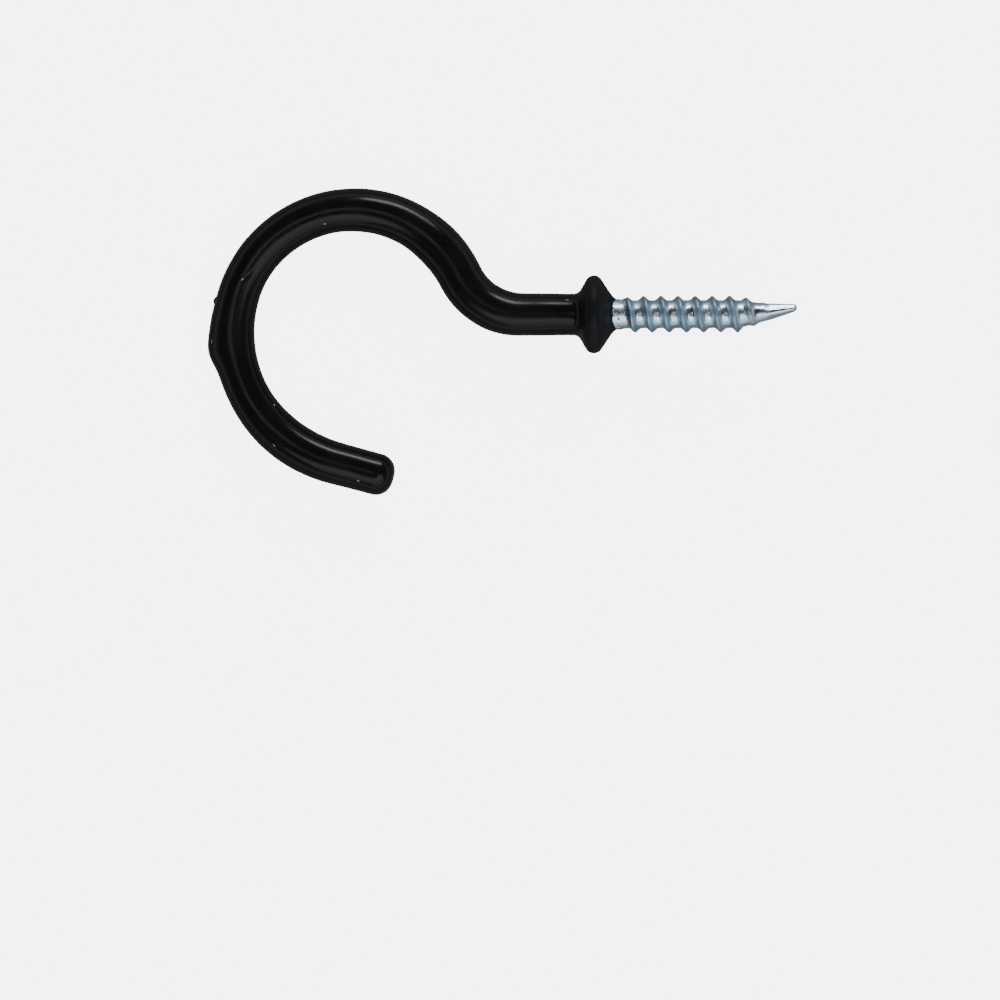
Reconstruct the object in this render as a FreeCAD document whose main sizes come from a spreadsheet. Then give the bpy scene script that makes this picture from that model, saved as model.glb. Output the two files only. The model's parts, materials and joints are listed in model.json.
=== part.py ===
"""Plastic-coated screw hook, as a parametric FreeCAD document.

Two pieces: the steel hook, bent and forged from one length of wire with a rolled wood-screw
thread, and the vinyl coat that the hook end was dipped into.  Millimetres.

Both pieces are drawn about the screw: X runs along its axis towards the point, the rim of the
collar lies in the plane X = 0, and the wire is bent in the XY plane.  Each piece's Placement then
lays it on the plane Z = 0 the way it comes to rest, on the collar's rim and the far side of the
loop, with the middle of the whole object's footprint over the origin.
"""
import FreeCAD, Part
import math
import os

import Sketcher

Vector = FreeCAD.Vector

# ---------------------------------------------------------------- driving sizes
SIZES = {
    # the wire and its path, from the collar round to the open end
    "wire_radius": 1.92,
    "neck_length": 9.0,
    "crook_radius": 8.4,
    "crook_turn": 63.8,
    "loop_radius": 14.9,
    "loop_turn": 147.0,
    "lip_radius": 16.8,
    "lip_turn": 81.7,
    "tail_length": 6.8,
    # the collar forged on the wire: a thick disc with a rounded rim and two sloping faces
    "rim_radius": 4.25,
    "rim_rounding": 0.65,
    "back_lean": 29.0,
    "front_lean": 36.5,
    # the rolled thread
    "screw_length": 25.15,
    "thread_gap": 0.63,
    "pitch": 2.12,
    "major_radius": 2.29,
    "root_radius": 1.75,
    "crest_flat": 0.2,
    "root_flat": 0.9,
    # the pinched point, which runs out to one side of the axis
    "nose_length": 3.0,
    "nose_radius": 1.07,
    "nose_offset": 0.21,
    "point_length": 3.95,
    "tip_radius": 0.4,
    "tip_offset": 0.8,
    # the vinyl coat
    "coat_wall": 0.74,
    "rim_wall": 0.6,
    "coat_front": 2.35,
    "neck_fillet": 0.8,
    "cap_wall": 0.95,
    "cap_rounding": 2.1,
    # the run that hardened on the outer side of the lip
    "drip_turn": 15.6,
    "drip_radius": 1.7,
    "drip_height": 0.6,
}

doc = FreeCAD.newDocument("screw_hook")
sheet = doc.addObject("Spreadsheet::Sheet", "sizes")
for row, (alias, number) in enumerate(SIZES.items(), start=1):
    sheet.set(f"A{row}", alias)
    sheet.set(f"B{row}", str(number))
    sheet.setAlias(f"B{row}", alias)
doc.recompute()


def value(formula):
    """What a formula on the sheet's aliases comes to, as a plain number."""
    return float(sheet.evalExpression(formula))


def turned(formula):
    """The cosine and the sine of an angle given in degrees, as formulas."""
    return f"cos(({formula}) * 1 deg)", f"sin(({formula}) * 1 deg)"


# ---------------------------------------------------------------- sizes that follow
COAT_RADIUS = "(sizes.wire_radius + sizes.coat_wall)"
RIM_CENTRE = "(sizes.rim_radius - sizes.rim_rounding)"
COAT_ROUNDING = "(sizes.rim_rounding + sizes.rim_wall)"
COAT_TAIL = "(sizes.tail_length + sizes.cap_wall)"
THREAD_START = "(sizes.coat_front + sizes.thread_gap)"
NOSE_PLACE = "(sizes.screw_length - sizes.point_length)"
THREAD_END = f"({NOSE_PLACE} - sizes.nose_length)"
# how far a flank runs along the axis for each millimetre that it rises
FLANK = (
    "((sizes.pitch - sizes.crest_flat - sizes.root_flat) / 2"
    " / (sizes.major_radius - sizes.root_radius))"
)


def face_foot(lean, rounding, height):
    """How far from the rim's plane a sloping face of the collar reaches a given height."""
    cosine, sine = turned(lean)
    return f"(({rounding} + ({RIM_CENTRE} - {height}) * {sine}) / {cosine})"


def face_height(lean, rounding, place):
    """At what height a sloping face of the collar is, a given distance from the rim's plane."""
    cosine, sine = turned(lean)
    return f"({RIM_CENTRE} - ({place} * {cosine} - {rounding}) / {sine})"


# ---------------------------------------------------------------- sketch helpers
def new_body(label):
    body = doc.addObject("PartDesign::Body", label)
    body.Label = label
    return body


def lay_on(feature, body, role):
    """Attach a sketch or a primitive to one of the body's own origin planes."""
    plane = [datum for datum in body.Origin.OriginFeatures if datum.Role == role][0]
    feature.AttachmentSupport = [(plane, "")]
    feature.MapMode = "FlatFace"


def new_sketch(body, role, name):
    sketch = body.newObject("Sketcher::SketchObject", f"{body.Label}_{name}")
    lay_on(sketch, body, role)
    return sketch


def relate(sketch, kind, *where):
    sketch.addConstraint(Sketcher.Constraint(kind, *where))


def dimension(sketch, kind, where, formula):
    """A length bound to the sheet; where lists the geometry that it holds."""
    index = sketch.addConstraint(Sketcher.Constraint(kind, *where, value(formula)))
    sketch.setExpression(f"Constraints[{index}]", formula)


def sweep_angle(sketch, arc, formula):
    """How many degrees an arc goes round, bound to the sheet."""
    radians = math.radians(value(formula))
    index = sketch.addConstraint(Sketcher.Constraint("Angle", arc, radians))
    sketch.setExpression(f"Constraints[{index}]", f"{formula} * 1 deg")


def rounded_side(start, end, radius, hollow):
    """The short arc between two corners, its centre on their right, or on their left if hollow."""
    chord = end - start
    left = Vector(-chord.y, chord.x, 0).normalize()
    height = math.sqrt(radius**2 - (chord.Length / 2) ** 2)
    centre = (start + end) / 2 + left * (height if hollow else -height)
    first, last = (start, end) if hollow else (end, start)
    angles = [math.atan2(place.y - centre.y, place.x - centre.x) for place in (first, last)]
    return Part.ArcOfCircle(Part.Circle(centre, Vector(0, 0, 1), radius), *angles)


def outline(sketch, corners, arcs=None):
    """A closed outline whose every corner is held by two formulas.

    arcs maps the number of a corner to the radius of the arc that leaves it, as a formula, and to
    whether that arc is hollow.  Every other side is straight.
    """
    arcs = arcs or {}
    places = [Vector(value(across), value(up), 0) for across, up in corners]
    ends = []
    for index, place in enumerate(places):
        following = places[(index + 1) % len(places)]
        if index in arcs:
            radius, hollow = arcs[index]
            side = rounded_side(place, following, value(radius), hollow)
            ends.append((1, 2) if hollow else (2, 1))
        else:
            side = Part.LineSegment(place, following)
            ends.append((1, 2))
        sketch.addGeometry(side, False)
    for index, (across, up) in enumerate(corners):
        following = (index + 1) % len(corners)
        dimension(sketch, "DistanceX", (-1, 1, index, ends[index][0]), across)
        dimension(sketch, "DistanceY", (-1, 1, index, ends[index][0]), up)
        relate(sketch, "Coincident", index, ends[index][1], following, ends[following][0])
        if index in arcs:
            dimension(sketch, "Radius", (index,), arcs[index][0])


def ring(body, name, radius, offset="0", place="0"):
    """A circle across the axis, offset sideways, on a plane moved along the axis by place."""
    sketch = new_sketch(body, "YZ_Plane", name)
    centre = Vector(value(offset), 0, 0)
    sketch.addGeometry(Part.Circle(centre, Vector(0, 0, 1), value(radius)), False)
    dimension(sketch, "Radius", (0,), radius)
    dimension(sketch, "DistanceX", (-1, 1, 0, 3), offset)
    relate(sketch, "PointOnObject", 0, 3, -1)
    sketch.setExpression(".AttachmentOffset.Base.z", place)
    return sketch


def spin_round_axis(body, kind, name, corners, arcs=None):
    """An outline spun a whole turn about the screw's axis; kind is Revolution or Groove."""
    sketch = new_sketch(body, "XY_Plane", f"{name}_outline")
    outline(sketch, corners, arcs)
    doc.recompute()
    feature = body.newObject(f"PartDesign::{kind}", f"{body.Label}_{name}")
    feature.Profile = sketch
    feature.ReferenceAxis = (sketch, ["H_Axis"])
    feature.Angle = 360
    doc.recompute()


# ---------------------------------------------------------------- the bent wire's path
# each bend of the wire: its radius, its turn, and 1 where it goes anticlockwise on its way out
BENDS = (
    ("sizes.crook_radius", "sizes.crook_turn", -1),
    ("sizes.loop_radius", "sizes.loop_turn", 1),
    ("sizes.lip_radius", "sizes.lip_turn", 1),
)


def path_stations():
    """Where each bend starts and ends, its centre and its two headings, all as formulas."""
    heading = "180"
    place = ("-sizes.neck_length", "0")
    stations = []
    for radius, turn, side in BENDS:
        cosine, sine = turned(heading)
        centre = (
            f"({place[0]} - {side} * {radius} * {sine})",
            f"({place[1]} + {side} * {radius} * {cosine})",
        )
        onward = f"{heading} + {side} * {turn}"
        cosine, sine = turned(onward)
        end = (
            f"({centre[0]} + {side} * {radius} * {sine})",
            f"({centre[1]} - {side} * {radius} * {cosine})",
        )
        stations.append((place, centre, end, heading, onward))
        place, heading = end, onward
    return stations


def point_at(pair):
    return Vector(value(pair[0]), value(pair[1]), 0)


def path_end(tail):
    """Where the path stops, a straight tail beyond its last bend."""
    last = path_stations()[-1]
    cosine, sine = turned(last[4])
    return point_at(last[2]) + Vector(value(cosine), value(sine), 0) * value(tail)


def draw_path(body, name, tail):
    """The wire's centreline: the neck, three bends and the straight tail, each tangent."""
    sketch = new_sketch(body, "XY_Plane", name)
    stations = path_stations()
    sketch.addGeometry(Part.LineSegment(Vector(0, 0, 0), point_at(stations[0][0])), False)
    relate(sketch, "Coincident", 0, 1, -1, 1)
    relate(sketch, "Horizontal", 0)
    dimension(sketch, "Distance", (0,), "sizes.neck_length")
    leaving = 2
    for (radius, turn, side), (start, centre, end, heading, onward) in zip(BENDS, stations):
        # an arc is drawn anticlockwise, so a clockwise bend is entered at the arc's end
        first, last = sorted((value(heading) - 90 * side, value(onward) - 90 * side))
        circle = Part.Circle(point_at(centre), Vector(0, 0, 1), value(radius))
        arc = Part.ArcOfCircle(circle, math.radians(first), math.radians(last))
        number = sketch.addGeometry(arc, False)
        near, far = (1, 2) if side > 0 else (2, 1)
        relate(sketch, "Tangent", number - 1, leaving, number, near)
        dimension(sketch, "Radius", (number,), radius)
        sweep_angle(sketch, number, turn)
        leaving = far
    straight = Part.LineSegment(point_at(stations[-1][2]), path_end(tail))
    number = sketch.addGeometry(straight, False)
    relate(sketch, "Tangent", number - 1, leaving, number, 1)
    dimension(sketch, "Distance", (number,), tail)
    doc.recompute()
    return sketch


def pipe(body, kind, name, radius, tail):
    """A round bar along the wire's path; kind is Additive or Subtractive."""
    path = draw_path(body, f"{name}_path", tail)
    section = ring(body, f"{name}_section", radius)
    doc.recompute()
    feature = body.newObject(f"PartDesign::{kind}Pipe", f"{body.Label}_{name}")
    feature.Profile = section
    feature.Spine = (path, [f"Edge{number + 1}" for number in range(path.GeometryCount)])
    doc.recompute()
    return path


# ---------------------------------------------------------------- the collar's outline
def rim_corners(rounding):
    """Where the rounded rim starts and ends, on the back face and on the front face."""
    back_cosine, back_sine = turned("sizes.back_lean")
    front_cosine, front_sine = turned("sizes.front_lean")
    return [
        (f"-{rounding} * {back_cosine}", f"{RIM_CENTRE} + {rounding} * {back_sine}"),
        (f"{rounding} * {front_cosine}", f"{RIM_CENTRE} + {rounding} * {front_sine}"),
    ]


def steel_collar_corners():
    """The steel collar from the wire on its back to the shank on its front."""
    back = face_foot("sizes.back_lean", "sizes.rim_rounding", "sizes.wire_radius")
    front = face_foot("sizes.front_lean", "sizes.rim_rounding", "sizes.wire_radius")
    return [
        (f"-{back}", "0"),
        (f"-{back}", "sizes.wire_radius"),
        *rim_corners("sizes.rim_rounding"),
        (front, "sizes.wire_radius"),
    ]


STEEL_RIM_ARC = {2: ("sizes.rim_rounding", False)}


# ---------------------------------------------------------------- the steel hook
def steel_hook():
    """Wire bent to a hook, with a collar upset on it, a rolled thread and a pinched point."""
    body = new_body("steel_hook")

    # the collar, the plain shank and the blank that the thread is rolled on, as one turned shape
    sunk = "(sizes.wire_radius - sizes.root_radius)"
    rise_foot = f"{THREAD_START} + sizes.root_flat / 2 + {FLANK} * {sunk}"
    rise_top = f"{THREAD_START} + (sizes.pitch - sizes.crest_flat) / 2"
    corners = steel_collar_corners() + [
        (rise_foot, "sizes.wire_radius"),
        (rise_top, "sizes.major_radius"),
        (THREAD_END, "sizes.major_radius"),
        (THREAD_END, "0"),
    ]
    spin_round_axis(body, "Revolution", "blank", corners, STEEL_RIM_ARC)

    # the point: a cone that leans sideways, then a slim tapered end that leans further
    first = ring(body, "point_root", "sizes.major_radius", "0", THREAD_END)
    nose = ring(body, "point_nose", "sizes.nose_radius", "sizes.nose_offset", NOSE_PLACE)
    tip = ring(body, "point_tip", "sizes.tip_radius", "sizes.tip_offset", "sizes.screw_length")
    doc.recompute()
    point = body.newObject("PartDesign::AdditiveLoft", "steel_hook_point")
    point.Profile = first
    point.Sections = [nose, tip]
    point.Ruled = True
    doc.recompute()

    # the bent wire, from the collar round to its cut end
    pipe(body, "Additive", "wire", "sizes.wire_radius", "sizes.tail_length")

    # the thread: one groove wound along the blank, which leaves the crest standing between turns.
    # The cutter's mouth is wider than the groove by half the crest's flat, so it clears the crest
    # and still never meets its own next turn.
    half_root = "sizes.root_flat / 2"
    half_mouth = "(sizes.pitch - sizes.crest_flat / 2) / 2"
    mouth_radius = f"(sizes.major_radius + sizes.crest_flat / 4 / {FLANK})"
    cutter = new_sketch(body, "XY_Plane", "thread_cutter")
    outline(cutter, [
        (f"{THREAD_START} - {half_root}", "sizes.root_radius"),
        (f"{THREAD_START} + {half_root}", "sizes.root_radius"),
        (f"{THREAD_START} + {half_mouth}", mouth_radius),
        (f"{THREAD_START} - {half_mouth}", mouth_radius),
    ])
    doc.recompute()
    thread = body.newObject("PartDesign::SubtractiveHelix", "steel_hook_thread")
    thread.Profile = cutter
    thread.ReferenceAxis = (cutter, ["H_Axis"])
    thread.Mode = "pitch-height-angle"
    thread.setExpression("Pitch", "sizes.pitch")
    thread.setExpression("Height", f"sizes.screw_length - {THREAD_START}")
    thread.LeftHanded = False
    doc.recompute()
    return body


# ---------------------------------------------------------------- the vinyl coat
def edge_near(shape, place):
    """The name of the edge whose middle is nearest to a place."""
    distances = [(edge.CenterOfMass - place).Length for edge in shape.Edges]
    return f"Edge{distances.index(min(distances)) + 1}"


def vinyl_coat():
    """The skin left by dipping: an even wall on the wire and collar, and a closed rounded end."""
    body = new_body("vinyl_coat")

    # the skin on the wire, a little longer than the wire, with its end rounded over
    path = pipe(body, "Additive", "skin", COAT_RADIUS, COAT_TAIL)
    skin = body.Tip
    cap = body.newObject("PartDesign::Fillet", "vinyl_coat_cap")
    cap.Base = (skin, [edge_near(skin.Shape, path_end(COAT_TAIL))])
    cap.setExpression("Radius", "sizes.cap_rounding")
    doc.recompute()

    # the skin on the collar, with a fillet into the neck and a blunt edge round the shank
    foot = face_foot("sizes.back_lean", COAT_ROUNDING, COAT_RADIUS)
    cosine, sine = turned("sizes.back_lean")
    half_cosine, half_sine = turned("(90 - sizes.back_lean) / 2")
    tangent = f"(sizes.neck_fillet * {half_sine} / {half_cosine})"
    corners = [
        (f"-({foot} + {tangent})", "0"),
        (f"-({foot} + {tangent})", COAT_RADIUS),
        (f"-{foot} + {tangent} * {sine}", f"{COAT_RADIUS} + {tangent} * {cosine}"),
        *rim_corners(COAT_ROUNDING),
        ("sizes.coat_front", face_height("sizes.front_lean", COAT_ROUNDING, "sizes.coat_front")),
        ("sizes.coat_front", "0"),
    ]
    arcs = {1: ("sizes.neck_fillet", True), 3: (COAT_ROUNDING, False)}
    spin_round_axis(body, "Revolution", "collar", corners, arcs)

    # the hardened run: a ball that stands out of the skin on the outer side of the lip
    radius, turn, side = BENDS[-1]
    start, centre, end, heading, onward = path_stations()[-1]
    cosine, sine = turned(f"{heading} + sizes.drip_turn")
    reach = f"({radius} + {COAT_RADIUS} + sizes.drip_height - sizes.drip_radius)"
    drip = body.newObject("PartDesign::AdditiveSphere", "vinyl_coat_drip")
    lay_on(drip, body, "XY_Plane")
    drip.setExpression("Radius", "sizes.drip_radius")
    drip.setExpression(".AttachmentOffset.Base.x", f"{centre[0]} + {reach} * {sine}")
    drip.setExpression(".AttachmentOffset.Base.y", f"{centre[1]} - {reach} * {cosine}")
    doc.recompute()

    # the room that the steel takes up
    pipe(body, "Subtractive", "bore", "sizes.wire_radius", "sizes.tail_length")
    cavity = steel_collar_corners() + [
        ("sizes.coat_front + sizes.coat_wall", "sizes.wire_radius"),
        ("sizes.coat_front + sizes.coat_wall", "0"),
    ]
    spin_round_axis(body, "Groove", "cavity", cavity, STEEL_RIM_ARC)
    return body, path


# ---------------------------------------------------------------- the object at rest
def lay_down(bodies, path):
    """Tip the hook on to its collar's rim and its loop, and centre its footprint on the origin."""
    reach = -path.Shape.optimalBoundingBox().XMin
    ring_radius = value(RIM_CENTRE)
    gained = value(COAT_ROUNDING) - value(COAT_RADIUS)
    tilt = math.atan2(ring_radius, reach) + math.asin(gained / math.hypot(reach, ring_radius))
    turn = FreeCAD.Rotation(Vector(0, 1, 0), -math.degrees(tilt))
    for body in bodies:
        body.Placement = FreeCAD.Placement(Vector(0, 0, 0), turn)
    doc.recompute()
    box = FreeCAD.BoundBox()
    for body in bodies:
        box.add(body.Shape.optimalBoundingBox(False))
    place = Vector(-box.Center.x, -box.Center.y, -box.ZMin)
    for body in bodies:
        body.Placement = FreeCAD.Placement(place, turn)
    doc.recompute()
    print(f"tilt {math.degrees(tilt):.3f} degrees, moved by {place.x:.3f} {place.y:.3f} {place.z:.3f}")
    print(f"size {box.XLength:.2f} x {box.YLength:.2f} x {box.ZLength:.2f}")


def write_parts(bodies):
    """Check every object of the document and every sub-part's shape, then write the parts."""
    for item in doc.Objects:
        if "Invalid" in item.State or "Error" in item.State:
            raise RuntimeError(f"{item.Name} failed: {item.State}")
    for body in bodies:
        shape = body.Shape
        if shape.isNull() or not shape.isValid() or len(shape.Solids) != 1:
            raise RuntimeError(f"{body.Label} isn't one valid solid")
    os.makedirs("parts", exist_ok=True)
    for body in bodies:
        body.Shape.exportStep(os.path.join("parts", f"{body.Label}.step"))
        print(f"{body.Label}: {body.Shape.Volume:.1f} mm3, {len(body.Shape.Faces)} faces")


hook = steel_hook()
coat, coat_path = vinyl_coat()
lay_down([hook, coat], coat_path)
write_parts([hook, coat])
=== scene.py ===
# %% [markdown]
# A screw hook, dipped in black vinyl. The real one is one bent steel wire with
# a collar squeezed up near its middle and a wood-screw thread rolled on its end.
# It is zinc plated, then dipped in vinyl up to just past the collar, so only the
# thread stays bare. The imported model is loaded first, because both pieces made
# here have to lie exactly where its two solids lie.

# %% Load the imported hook
import bpy
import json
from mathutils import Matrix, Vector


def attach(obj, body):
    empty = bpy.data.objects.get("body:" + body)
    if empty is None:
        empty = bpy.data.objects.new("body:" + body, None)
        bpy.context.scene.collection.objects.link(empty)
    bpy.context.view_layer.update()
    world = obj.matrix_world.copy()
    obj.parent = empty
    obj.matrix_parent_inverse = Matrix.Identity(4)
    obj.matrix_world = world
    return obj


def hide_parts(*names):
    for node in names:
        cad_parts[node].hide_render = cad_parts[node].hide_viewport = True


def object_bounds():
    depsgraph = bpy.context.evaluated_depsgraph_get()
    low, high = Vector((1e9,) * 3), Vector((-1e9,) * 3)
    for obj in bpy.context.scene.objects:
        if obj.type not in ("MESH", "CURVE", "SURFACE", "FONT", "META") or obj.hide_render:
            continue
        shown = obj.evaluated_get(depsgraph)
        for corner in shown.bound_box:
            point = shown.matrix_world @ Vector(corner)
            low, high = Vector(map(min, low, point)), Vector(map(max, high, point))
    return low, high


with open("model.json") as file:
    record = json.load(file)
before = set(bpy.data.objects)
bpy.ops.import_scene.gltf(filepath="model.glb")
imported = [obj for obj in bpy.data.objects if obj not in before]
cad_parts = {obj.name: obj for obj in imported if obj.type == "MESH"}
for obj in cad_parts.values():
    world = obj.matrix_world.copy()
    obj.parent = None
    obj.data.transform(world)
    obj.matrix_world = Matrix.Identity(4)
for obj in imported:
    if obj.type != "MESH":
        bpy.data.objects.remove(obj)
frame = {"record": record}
bpy.context.view_layer.update()
cad_low, cad_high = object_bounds()
print("packed hook spans, in mm:", [round(1000 * s, 2) for s in cad_high - cad_low])

# %% [markdown]
# Everything is drawn on a bench first: the screw points along +X, the bends lie
# flat in the XY plane and the rim of the collar is at X = 0. That keeps the ring
# centres and bend centres simple. The hook really lies on the floor a little
# nose up, resting on its rim and its loop, so at the end each finished mesh is
# carried from the bench to the floor by one matrix, read from the screw mount.

# %% The bench and the way to the floor
import json
import math

from mathutils import Matrix, Vector, noise

MM = 0.001
COAT_FRONT = 2.35 * MM

mount = [m for m in frame["record"]["mounts"] if m["name"] == "screw_thread"][0]
along = Vector(mount["axis"]).normalized()
across = Vector((0, 1, 0))
upward = along.cross(across)
seat = Vector(mount["pos_m"]) - COAT_FRONT * along
to_floor = Matrix((along, across, upward)).transposed().to_4x4()
to_floor.translation = seat
print("rim centre stands", round(seat.z / MM, 2), "mm above the floor")

# %% [markdown]
# The camera comes before the pieces, so that every look at them is the same.
# It looks straight down with a long lens from about 0.7 m, which keeps the
# wire's width honest from end to end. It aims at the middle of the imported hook,
# shifted toward the viewer, so the hook sits in the upper half of the view.

# %% The camera, straight above
LENS = 200.0
SENSOR = 36.0
VIEW_WIDTH = 123.9 * MM
AIM_SHIFT = Vector((-0.30, -19.62, 0)) * MM

bpy.ops.object.camera_add(rotation=(0, 0, 0))
camera = bpy.context.object
camera.name = "camera_overhead"
camera.data.lens = LENS
camera.data.sensor_width = SENSOR
camera_height = VIEW_WIDTH * LENS / SENSOR
camera.location = (cad_low + cad_high) / 2 + AIM_SHIFT + Vector((0, 0, camera_height))
camera.data.clip_start = 0.01
camera.data.clip_end = 20
bpy.context.scene.camera = camera
print("camera stands", round(camera_height, 3), "m above the hook")

# %% [markdown]
# The wire's middle line is the backbone of both pieces. It is straight from the
# collar, then three bends that flow into each other (a crook one way, the big
# loop and a slightly wider lip the other way) and a short straight tail. Each
# leg is a name, a radius and a turn. A spin in edit mode makes a bend exactly,
# so the wire is walked leg by leg instead of being swept along a curve.

# %% The legs of the wire
NECK_LENGTH = 9.0 * MM
CROOK_RADIUS = 8.4 * MM
CROOK_TURN = -63.8
LOOP_RADIUS = 14.9 * MM
LOOP_TURN = 147.0
LIP_RADIUS = 16.8 * MM
LIP_TURN = 81.7
TAIL_LENGTH = 6.8 * MM
BENDS = [(CROOK_RADIUS, CROOK_TURN), (LOOP_RADIUS, LOOP_TURN), (LIP_RADIUS, LIP_TURN)]

bend_lengths = [radius * math.radians(abs(turn)) for radius, turn in BENDS]
wire_length = NECK_LENGTH + sum(bend_lengths) + TAIL_LENGTH
print("wire from rim to tail:", round(wire_length / MM, 1), "mm")

# %% [markdown]
# A ring of points is walked along those legs and leaves a skin behind it. Each
# step is an extrude or a one-step spin, then a resize about the ring's own
# centre where the skin has to get thicker or thinner. The same walker draws the
# outside of the vinyl, the inside of the vinyl and the steel within it.

# %% A ring that can be walked
class Ring:
    """The open end of a tube in edit mode: its centre, heading and radius."""

    def __init__(self, name, place, radius, points):
        bpy.ops.object.select_all(action="DESELECT")
        bpy.ops.mesh.primitive_circle_add(
            vertices=points, radius=radius, location=(place, 0, 0),
            rotation=(0, math.pi / 2, 0))
        self.body = bpy.context.object
        self.body.name = name
        bpy.ops.object.transform_apply(location=True, rotation=True, scale=True)
        bpy.ops.object.mode_set(mode="EDIT")
        bpy.ops.mesh.select_all(action="SELECT")
        self.centre = Vector((place, 0, 0))
        self.heading = 180.0
        self.radius = radius

    def ahead(self):
        """The way the ring faces, as a unit vector."""
        angle = math.radians(self.heading)
        return Vector((math.cos(angle), math.sin(angle), 0))

    def swell(self, radius):
        """Gives the ring another radius about its own centre."""
        share = radius / self.radius
        bpy.ops.transform.resize(value=(share,) * 3, center_override=self.centre)
        self.radius = radius

    def push(self, length, radius):
        """Goes straight on by a length and ends at a radius."""
        step = self.ahead() * length
        bpy.ops.mesh.extrude_region_move(TRANSFORM_OT_translate={"value": step})
        self.centre = self.centre + step
        self.swell(radius)

    def bend(self, bend_radius, turn, radius):
        """Goes round a bend by a turn in degrees and ends at a radius."""
        side = math.copysign(1, turn)
        hub = self.centre + Matrix.Rotation(math.pi / 2 * side, 3, "Z") @ (
            self.ahead() * bend_radius)
        angle = math.radians(turn)
        bpy.ops.mesh.spin(steps=1, angle=-angle, center=hub, axis=(0, 0, 1))
        self.centre = hub + Matrix.Rotation(angle, 3, "Z") @ (self.centre - hub)
        self.heading += turn
        self.swell(radius)

    def close(self):
        """Closes the tube with one point in the middle of the ring."""
        bpy.ops.mesh.extrude_region_move()
        bpy.ops.mesh.merge(type="CENTER")


print("a ring can push, bend, swell and close")

# %% [markdown]
# The collar's outline is needed for the vinyl and again for the steel, so it is
# worked out once from its rounding and leans. It runs from the screw side to the
# neck: a straight cone up, round over the rim, a steeper cone down and a hollow
# fillet into the neck. Vinyl can also creep a little way out along the wire.

# %% The outline of the collar
RIM_RADIUS = 4.25 * MM
RIM_ROUNDING = 0.65 * MM
FRONT_LEAN = 36.5
BACK_LEAN = 29.0
RIM_STEPS = 14
FILLET_STEPS = 8
CONE_STEPS = 4


def steps_between(first, last, count):
    """Evenly spaced values after first, ending on last."""
    return [first + (last - first) * (i + 1) / count for i in range(count)]


def collar_outline(top, rounding, front_lean, shank, neck, fillet, creep=0):
    """Points (x, radius) of the collar from the shank, over the rim, to the neck."""
    middle = top - rounding
    over_front, over_back = 90 - front_lean, BACK_LEAN - 90
    over_rim = [over_front] + steps_between(over_front, over_back, RIM_STEPS)
    rim = [(rounding * math.sin(a), middle + rounding * math.cos(a))
           for a in map(math.radians, over_rim)]
    foot_x = rim[0][0] + (rim[0][1] - shank) * math.tan(math.radians(front_lean))
    cone = [(x, rim[0][1] + (shank - rim[0][1]) * (x - rim[0][0]) / (foot_x - rim[0][0]))
            for x in steps_between(foot_x, rim[0][0], CONE_STEPS)[:-1]]
    foot = [(foot_x + creep, shank), (foot_x + creep / 4, shank + creep / 8)] if creep else [
        (foot_x, shank)]
    lean = math.radians(BACK_LEAN)
    hub_r = neck + fillet
    back_x, back_r = rim[-1]
    hub_x = back_x - (fillet - (hub_r - back_r) * math.sin(lean)) / math.cos(lean)
    into_neck = [-over_back] + steps_between(-over_back, 0, FILLET_STEPS)
    hollow = [(hub_x + fillet * math.sin(a), hub_r - fillet * math.cos(a))
              for a in map(math.radians, into_neck)]
    return foot + cone + rim + hollow


def walk_outline(ring, corners):
    """Takes the ring back along a straight outline of (x, radius) points."""
    for x, radius in corners:
        ring.push(ring.centre.x - x, radius)


def walk_wire(ring, stride, thickness, tail):
    """Takes the ring along the neck, the three bends and a tail of that length."""
    left = NECK_LENGTH + ring.centre.x
    walked = -ring.centre.x
    for length, bend_radius, turn in (
            [(left, None, None)]
            + [(bend_lengths[i], *BENDS[i]) for i in range(len(BENDS))]
            + [(tail, None, None)]):
        count = max(1, round(length / stride))
        for _ in range(count):
            walked += length / count
            if turn is None:
                ring.push(length / count, thickness(walked))
            else:
                ring.bend(bend_radius, turn / count, thickness(walked))


print("collar outline rises", round((RIM_RADIUS - RIM_ROUNDING) / MM, 2), "mm to its rounding")

# %% [markdown]
# The vinyl is thickest where the molten dip ran and set. It is thin at the
# collar's back, swells through the top of the loop, thins again down the far
# side and gathers once more near the lip. A few places along the wire with
# their diameters say that, and a smooth step joins one to the next.

# %% How thick the vinyl ran
COAT_RUN = [(3.0, 5.20), (7.0, 5.30), (12.5, 5.53), (18.5, 5.60), (23.0, 5.76),
            (28.0, 5.53), (33.0, 5.48), (39.0, 5.30), (50.0, 5.18), (57.0, 5.30),
            (65.0, 5.22), (75.5, 5.48), (86.0, 5.22), (90.0, 5.20)]


def eased(share):
    """A smooth step from 0 to 1."""
    share = min(1, max(0, share))
    return share * share * (3 - 2 * share)


def coat_radius(walked):
    """Outside radius of the vinyl at a distance from the rim along the wire."""
    at = walked / MM
    for (start, thin), (end, thick) in zip(COAT_RUN, COAT_RUN[1:]):
        if at <= end:
            return MM / 2 * (thin + (thick - thin) * eased((at - start) / (end - start)))
    return MM / 2 * COAT_RUN[-1][1]


print("vinyl radius at the top of the loop:", round(coat_radius(23 * MM) / MM, 2), "mm")

# %% [markdown]
# The outer skin starts as a ring at the dip line, just in front of the collar,
# and is walked back over the collar and round to the lip, where the vinyl hangs
# a little past the wire and sets as a soft dome. The dome is a few rings that
# shrink by a quarter circle, two more that crown it and a last point.

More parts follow.
